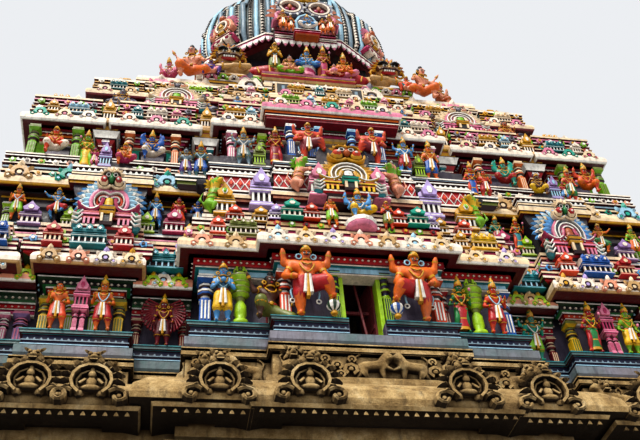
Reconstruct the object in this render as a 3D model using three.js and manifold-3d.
// A South Indian temple gateway tower: a granite base with a passage through it, four hollow
// storeys of brick and painted plaster that step back, a solid top platform, a neck and a
// ribbed vault roof with finials. Millimetres, +Z up, the origin is the centre of the
// footprint on the ground and the front faces -Y.
import * as THREE from 'three';
import { mergeVertices } from 'three/addons/utils/BufferGeometryUtils.js';
import Module from 'manifold-3d';

const wasm = await Module();
wasm.setup();

// Heights of the granite base above the ground
const PLINTH_TOP = 2800;
const PASSAGE_TOP = 7000;
const WALL_TOP = 11000;
const CORNICE_TOP = 11900;
const FRIEZE_TOP = 13000;
const PASSAGE_HALF_WIDTH = 1600;

// Plans are lists of bays across half the front, [outer edge x, face y], and of bays along
// half an end from the corner inwards, [inner edge y, face x]
const BASE_PLAN = {
  bays: [[4000, 6700], [9800, 6400]],
  ends: [[2600, 9800], [0, 10000]],
};

// Each storey: floor level, underside of its eave, top of its parapet, plan of its plinth,
// how far its eave stands out, inner faces of its walls, and half the width of its doorway
const STOREYS = [
  {
    number: 1, floor: 13320, socle: 13770, eave: 15900, top: 17000, overhang: 350,
    inside: [8400, 4300], doorHalf: 420,
    plan: {
      bays: [[2110, 6840], [3960, 6500], [5360, 5500], [7600, 5960], [8500, 5500], [9700, 5900]],
      ends: [[4300, 9700], [3300, 9300], [0, 9750]],
    },
  },
  {
    number: 2, floor: 17300, socle: 17500, eave: 18700, top: 20160, overhang: 300,
    inside: [8000, 4000], doorHalf: 0,
    plan: {
      bays: [[1950, 6100], [3690, 5850], [9050, 5400]],
      ends: [[3700, 9050], [2600, 8750], [0, 9100]],
    },
  },
  {
    number: 3, floor: 20460, socle: 20700, eave: 22100, top: 23350, overhang: 250,
    inside: [7400, 3400], doorHalf: 400,
    plan: {
      bays: [[1740, 5600], [3300, 5190], [4180, 4530], [6280, 4880], [7000, 4530], [8800, 4850]],
      ends: [[3200, 8800], [2300, 8500], [0, 8800]],
    },
  },
  {
    number: 4, floor: 23650, socle: 23800, eave: 24550, top: 25600, overhang: 220,
    inside: [6000, 2600], doorHalf: 0,
    plan: {
      bays: [[1450, 4400], [2900, 4150], [3500, 3700], [5300, 4000], [5900, 3700], [7300, 3950]],
      ends: [[2500, 7300], [1700, 7000], [0, 7300]],
    },
  },
];
const WALL_SETBACK = 350;
const FLOOR_EDGE = 150;

// Miniature shrines along the foot of the walls: places across half the front and half an end
const SHRINES = {
  2: { front: [780, 2350, 4500, 7900], ends: [1500, 4300], height: 1250, width: 780 },
  3: { front: [2350, 3850, 5250, 7900], ends: [0, 2700], height: 850, width: 640 },
  4: { front: [700, 2200, 4350, 6600], ends: [0, 2100], height: 650, width: 560 },
};
const SHRINE_DEPTH = 500;

// Horseshoe gables on the front and back: [centre x, foot z, width, height, face y]
const GABLES = {
  2: [[6200, 17300, 1900, 2300, 5850], [0, 18400, 1500, 2100, 6450]],
  4: [[4700, 23650, 1250, 1250, 4350]],
};

// Top platform in two steps, neck, and roof
const STEP_PLAN = { bays: [[1600, 3900], [6890, 3610]], ends: [[0, 6890]] };
const TOP_PLAN = { bays: [[1500, 3250], [5920, 2990]], ends: [[0, 5920]] };
const STEP_TOP = 25900;
const TOP_PLATFORM = 27000;
const NECK_HALF_WIDTH = 2700;
const NECK_HALF_DEPTH = 1700;
const NECK_WALL = 350;
const NECK_TOP = 30600;
const ROOF_EAVE_TOP = 30900;
const ROOF_EAVE_REACH = 150;
const ROOF_RIDGE_HALF = 1300;
const ROOF_SHELL = 300;
// Corners of a quarter of the roof's long octagon, at its eave
const ROOF_QUARTER = [[1450, 2600], [3550, 1200]];
// Profile of the vault: [height above ground, size against the eave]
const ROOF_PROFILE = [
  [30900, 1], [31500, 1.06], [32300, 1.08], [33100, 1.05], [34000, 0.97],
  [34900, 0.82], [35800, 0.55], [36300, 0.12],
];
const GABLE_HALF_WIDTH = 1150;
const GABLE_FRONT = 3150;
const GABLE_SHOULDER = 32900;
const GABLE_CENTRE = 34100;
const GABLE_RADIUS = 1250;
const GABLE_BACK = 900;
// Small gables on the slanting faces and ends, turned about the ends of the ridge
const SMALL_GABLE = { width: 1100, height: 2100, foot: 31500, reach: 2540, depth: 600 };
const SMALL_GABLE_TURNS = [34, 90, 146];
const RIDGE_TOP = 36500;
const FINIAL_PITCH = 620;
const FINIAL_COUNT = 5;
const FINIAL_HEIGHT = 1400;
const JOINT_GAP = 0.3;
const FAR = 40000;

const MATERIALS = {
  granite: { color: 0x8a6a48, roughness: 0.9, metalness: 0 },
  plinth: { color: 0x2f6f78, roughness: 0.6, metalness: 0 },
  plaster: { color: 0x8a7a9c, roughness: 0.6, metalness: 0 },
  cream: { color: 0xe6d9b8, roughness: 0.6, metalness: 0 },
  neck: { color: 0x3a2a4a, roughness: 0.7, metalness: 0 },
  roof: { color: 0x8f97b4, roughness: 0.5, metalness: 0 },
  brass: { color: 0xc79a3c, roughness: 0.35, metalness: 0.8 },
};

const tower = new THREE.Group();

function solid(geometry) {
  geometry.deleteAttribute('normal');
  geometry.deleteAttribute('uv');
  const merged = mergeVertices(geometry, 0.01);
  return new wasm.Manifold(new wasm.Mesh({
    numProp: 3,
    vertProperties: new Float32Array(merged.attributes.position.array),
    triVerts: new Uint32Array(merged.index.array),
  }));
}

function add(name, body, finish) {
  const { vertProperties, triVerts } = body.getMesh();
  const geometry = new THREE.BufferGeometry();
  geometry.setAttribute('position', new THREE.BufferAttribute(vertProperties, 3));
  geometry.setIndex(new THREE.BufferAttribute(triVerts, 1));
  geometry.computeVertexNormals();
  const mesh = new THREE.Mesh(geometry, new THREE.MeshStandardMaterial(MATERIALS[finish]));
  mesh.name = name;
  tower.add(mesh);
}

function box(x0, x1, y0, y1, z0, z1) {
  const geometry = new THREE.BoxGeometry(x1 - x0, y1 - y0, z1 - z0);
  geometry.translate((x0 + x1) / 2, (y0 + y1) / 2, (z0 + z1) / 2);
  return solid(geometry);
}

function turned(body, degrees) {
  return body.rotate([0, 0, degrees]);
}

// A quarter of an outline, from the front to the right end, is mirrored to all four
function mirrored(quarter) {
  const back = quarter.map(([x, y]) => [x, -y]).reverse();
  const left = [...quarter, ...back].map(([x, y]) => [-x, y]).reverse();
  return [...quarter, ...back, ...left];
}

function planOutline({ bays, ends }) {
  const quarter = [];
  bays.forEach(([edge, face], index) => {
    quarter.push([edge, -face]);
    if (index < bays.length - 1) quarter.push([edge, -bays[index + 1][1]]);
  });
  ends.forEach(([edge, face], index) => {
    if (index < ends.length - 1) quarter.push([face, -edge], [ends[index + 1][1], -edge]);
  });
  return mirrored(quarter);
}

// Moves every edge of an anticlockwise outline outwards by the same distance
function grown(outline, distance) {
  const normal = ([ax, ay], [bx, by]) => {
    const length = Math.hypot(bx - ax, by - ay);
    return [(by - ay) / length, (ax - bx) / length];
  };
  return outline.map((point, index) => {
    const before = normal(outline.at(index - 1), point);
    const after = normal(point, outline[(index + 1) % outline.length]);
    const scale = distance / (1 + before[0] * after[0] + before[1] * after[1]);
    return [point[0] + scale * (before[0] + after[0]), point[1] + scale * (before[1] + after[1])];
  });
}

// A solid through rings of equally many points, each [outline, z]
function loft(rings) {
  const positions = [];
  const faces = [];
  const count = rings[0][0].length;
  for (const [outline, z] of rings) {
    for (const [x, y] of outline) positions.push(x, y, z);
  }
  for (let level = 0; level < rings.length - 1; level += 1) {
    for (let point = 0; point < count; point += 1) {
      const next = (point + 1) % count;
      const low = level * count;
      const high = low + count;
      faces.push(low + point, low + next, high + next, low + point, high + next, high + point);
    }
  }
  const caps = (outline) => THREE.ShapeUtils.triangulateShape(
    outline.map(([x, y]) => new THREE.Vector2(x, y)), []);
  for (const [a, b, c] of caps(rings[0][0])) faces.push(c, b, a);
  const roof = (rings.length - 1) * count;
  for (const [a, b, c] of caps(rings.at(-1)[0])) faces.push(roof + a, roof + b, roof + c);
  const geometry = new THREE.BufferGeometry();
  geometry.setAttribute('position', new THREE.Float32BufferAttribute(positions, 3));
  geometry.setIndex(faces);
  return solid(geometry);
}

// A slab that follows a plan, with a profile of [z, offset from the plan]
function moulded(plan, profile) {
  const outline = planOutline(plan);
  return loft(profile.map(([z, offset]) => [grown(outline, offset), z]));
}

// Stone base

function buildBase() {
  const plinth = moulded(BASE_PLAN, [
    [0, 700], [500, 700], [500, 550], [1000, 550], [1300, 350],
    [1900, 350], [2100, 480], [2400, 480], [2400, 200], [PLINTH_TOP, 200],
  ]);
  const wall = moulded(BASE_PLAN, [
    [PLINTH_TOP, 0], [WALL_TOP - 500, 0], [WALL_TOP - 300, 200], [WALL_TOP, 200],
  ]);
  const sides = {
    left: box(-FAR, -PASSAGE_HALF_WIDTH, -FAR, FAR, -FAR, FAR),
    right: box(PASSAGE_HALF_WIDTH, FAR, -FAR, FAR, -FAR, FAR),
  };
  for (const [side, half] of Object.entries(sides)) {
    add(`base_plinth_${side}`, plinth.intersect(half), 'granite');
    add(`base_wall_${side}`, wall.intersect(half), 'granite');
  }
  const overPassage = box(
    -PASSAGE_HALF_WIDTH, PASSAGE_HALF_WIDTH, -FAR, FAR, PASSAGE_TOP, FAR);
  add('gateway_lintel', wall.intersect(overPassage), 'granite');
  add('base_cornice', moulded(BASE_PLAN, [
    [WALL_TOP, 200], [WALL_TOP, 1100], [WALL_TOP + 120, 1130], [WALL_TOP + 350, 1060],
    [WALL_TOP + 650, 800], [CORNICE_TOP, 450],
  ]), 'granite');
  add('base_frieze', moulded(STOREYS[0].plan, [
    [CORNICE_TOP, 250], [CORNICE_TOP + 200, 250], [CORNICE_TOP + 200, 100],
    [FRIEZE_TOP - 200, 100], [FRIEZE_TOP - 200, 200], [FRIEZE_TOP, 200],
  ]), 'granite');
}

// Ornament that is one mass with the walls

function shrine(x, face, foot, width, height) {
  const half = width / 2;
  const outline = [
    [x - half, -face - FLOOR_EDGE], [x + half, -face - FLOOR_EDGE],
    [x + half, -face + SHRINE_DEPTH], [x - half, -face + SHRINE_DEPTH],
  ];
  const eave = foot + height * 0.5;
  return loft([
    [outline, foot], [outline, eave], [grown(outline, 70), eave + 40],
    [grown(outline, -width * 0.3), foot + height],
  ]);
}

function gable([x, foot, width, height, face], depth) {
  const radius = width / 2;
  const centre = height - radius;
  const shape = new THREE.Shape();
  shape.moveTo(-radius * 0.8, 0);
  shape.lineTo(radius * 0.8, 0);
  shape.absarc(0, centre, radius, -Math.PI / 5, Math.PI * 1.2, false);
  const geometry = new THREE.ExtrudeGeometry(
    shape, { depth, bevelEnabled: false, curveSegments: 9 });
  geometry.rotateX(Math.PI / 2);
  geometry.translate(x, -face + depth, foot);
  return solid(geometry);
}

function faceAt(plan, x) {
  return plan.bays.find(([edge]) => Math.abs(x) < edge)[1];
}

function frontOrnament({ number, plan, floor }) {
  const pieces = [];
  const shrines = SHRINES[number];
  for (const x of shrines ? shrines.front : []) {
    for (const side of [-1, 1]) {
      pieces.push(shrine(side * x, faceAt(plan, x), floor, shrines.width, shrines.height));
    }
  }
  for (const [x, ...rest] of GABLES[number] ?? []) {
    for (const side of x === 0 ? [1] : [-1, 1]) {
      pieces.push(gable([side * x, ...rest], rest.at(-1) - faceAt(plan, x) + 2 * WALL_SETBACK));
    }
  }
  return pieces;
}

function endOrnament({ number, plan, floor }) {
  const shrines = SHRINES[number];
  if (!shrines) return [];
  const places = shrines.ends.flatMap((y) => (y === 0 ? [0] : [-y, y]));
  const face = (y) => plan.ends.find(([edge]) => Math.abs(y) >= edge)[1];
  return places.map((y) => shrine(y, face(y), floor, shrines.width, shrines.height));
}

// Storeys

function storeyMass(storey) {
  const { plan, floor, socle, eave, top, overhang, inside } = storey;
  let mass = moulded(plan, [
    [floor, 0], [socle, 0], [socle, -WALL_SETBACK], [eave - 250, -WALL_SETBACK],
    [eave, overhang - 40], [eave + 120, overhang], [eave + 450, 60], [top, 0],
  ]);
  for (const piece of frontOrnament(storey)) {
    mass = mass.add(piece).add(turned(piece, 180));
  }
  for (const piece of endOrnament(storey)) {
    mass = mass.add(turned(piece, 90)).add(turned(piece, -90));
  }
  const [insideX, insideY] = inside;
  const room = box(-insideX, insideX, -insideY, insideY, floor - 10, top + 10);
  return mass.subtract(room).intersect(box(-FAR, FAR, -FAR, FAR, floor, top));
}

function buildStorey(storey) {
  const { number, plan, floor, eave, top, inside, doorHalf } = storey;
  const mass = storeyMass(storey);
  const [insideX, insideY] = inside;
  const below = number === 1 ? FRIEZE_TOP : STOREYS[number - 2].top;
  add(`floor_${number}`, moulded(plan, [
    [below, FLOOR_EDGE - 70], [below + 120, FLOOR_EDGE], [floor, FLOOR_EDGE],
  ]), number === 1 ? 'plinth' : 'cream');
  const fronts = {
    front: [-FAR, -insideY],
    back: [insideY, FAR],
  };
  for (const [face, [y0, y1]] of Object.entries(fronts)) {
    if (doorHalf === 0) {
      add(`${face}_wall_${number}`, mass.intersect(box(-FAR, FAR, y0, y1, floor, top)), 'plaster');
      continue;
    }
    const left = box(-FAR, -doorHalf, y0, y1, floor, eave);
    const right = box(doorHalf, FAR, y0, y1, floor, eave);
    add(`${face}_wall_left_${number}`, mass.intersect(left), 'plaster');
    add(`${face}_wall_right_${number}`, mass.intersect(right), 'plaster');
    add(`${face}_eave_${number}`, mass.intersect(box(-FAR, FAR, y0, y1, eave, top)), 'cream');
  }
  const ends = {
    left: [-FAR, -insideX],
    right: [insideX, FAR],
  };
  for (const [side, [x0, x1]] of Object.entries(ends)) {
    const region = box(x0, x1, -insideY, insideY, floor, top);
    add(`end_wall_${side}_${number}`, mass.intersect(region), 'plaster');
  }
}

// Top platform, neck and roof

function buildTopPlatform() {
  const step = moulded(STEP_PLAN, [
    [STOREYS[3].top, 0], [STEP_TOP - 120, 0], [STEP_TOP - 120, 120], [STEP_TOP, 120],
  ]);
  const block = moulded(TOP_PLAN, [
    [STEP_TOP - 10, 0], [TOP_PLATFORM - 350, 0], [TOP_PLATFORM - 350, 180],
    [TOP_PLATFORM - 150, 180], [TOP_PLATFORM, 60],
  ]);
  add('top_platform', step.add(block), 'cream');
}

function buildNeck() {
  const innerX = NECK_HALF_WIDTH - NECK_WALL;
  const innerY = NECK_HALF_DEPTH - NECK_WALL;
  const wall = (x0, x1, y0, y1) => box(x0, x1, y0, y1, TOP_PLATFORM, NECK_TOP);
  add('neck_front', wall(-NECK_HALF_WIDTH, NECK_HALF_WIDTH, -NECK_HALF_DEPTH, -innerY), 'neck');
  add('neck_back', wall(-NECK_HALF_WIDTH, NECK_HALF_WIDTH, innerY, NECK_HALF_DEPTH), 'neck');
  add('neck_left', wall(-NECK_HALF_WIDTH, -innerX, -innerY, innerY), 'neck');
  add('neck_right', wall(innerX, NECK_HALF_WIDTH, -innerY, innerY), 'neck');
}

function roofOutline(scale, extra = 0) {
  const quarter = ROOF_QUARTER.map(([x, y]) => {
    const reach = (x - ROOF_RIDGE_HALF) * scale;
    return [ROOF_RIDGE_HALF + reach, -y * scale];
  });
  return grown(mirrored(quarter), extra);
}

function vault(extra) {
  return loft(ROOF_PROFILE.map(([z, scale], index) => {
    const bottom = index === 0 && extra !== 0 ? -Math.abs(extra) : 0;
    return [roofOutline(scale, extra), z + bottom];
  }));
}

function buildRoof() {
  const projection = box(
    -GABLE_HALF_WIDTH, GABLE_HALF_WIDTH, -GABLE_FRONT, GABLE_FRONT, NECK_TOP, ROOF_EAVE_TOP);
  const eave = loft([
    [roofOutline(1, -ROOF_EAVE_REACH), NECK_TOP],
    [roofOutline(1, ROOF_EAVE_REACH), NECK_TOP + 120],
    [roofOutline(1, ROOF_EAVE_REACH), ROOF_EAVE_TOP],
  ]);
  add('roof_eave', eave.add(projection), 'cream');

  let shell = vault(0);
  const { width, height, foot, reach, depth } = SMALL_GABLE;
  const small = gable([0, foot, width, height, reach], depth);
  for (const side of [-1, 1]) {
    for (const degrees of SMALL_GABLE_TURNS) {
      const placed = turned(small, side * degrees).translate([side * ROOF_RIDGE_HALF, 0, 0]);
      shell = shell.add(placed);
    }
  }
  const hollow = loft(ROOF_PROFILE.slice(0, -1).map(([z, scale], index) => (
    [roofOutline(scale, -ROOF_SHELL), index === 0 ? z - 10 : z - 100]
  )));
  add('roof_vault', shell.subtract(hollow), 'roof');

  const pedestal = box(
    -GABLE_HALF_WIDTH, GABLE_HALF_WIDTH, -GABLE_FRONT, -GABLE_BACK, ROOF_EAVE_TOP, GABLE_SHOULDER);
  const arch = gable([
    0, GABLE_SHOULDER - 10, GABLE_RADIUS * 2, GABLE_CENTRE + GABLE_RADIUS - GABLE_SHOULDER,
    GABLE_FRONT,
  ], GABLE_FRONT - GABLE_BACK);
  const dormer = pedestal.add(arch).subtract(vault(JOINT_GAP));
  add('front_gable', dormer, 'roof');
  add('back_gable', turned(dormer, 180), 'roof');
}

function finial(x) {
  const points = [
    [0, 0], [190, 0], [90, 150], [210, 330], [220, 470], [60, 720],
    [150, 800], [60, 900], [0, FINIAL_HEIGHT],
  ].map(([r, z]) => new THREE.Vector2(r, z));
  const geometry = new THREE.LatheGeometry(points, 8);
  geometry.rotateX(Math.PI / 2);
  geometry.translate(x, 0, RIDGE_TOP - 10);
  return solid(geometry);
}

function buildRidge() {
  const half = (FINIAL_PITCH * (FINIAL_COUNT - 1)) / 2;
  let ridge = box(-half - 230, half + 230, -210, 210, ROOF_PROFILE.at(-1)[0], RIDGE_TOP);
  for (let index = 0; index < FINIAL_COUNT; index += 1) {
    ridge = ridge.add(finial(index * FINIAL_PITCH - half));
  }
  add('ridge_with_finials', ridge, 'brass');
}

buildBase();
STOREYS.forEach(buildStorey);
buildTopPlatform();
buildNeck();
buildRoof();
buildRidge();

export default tower;
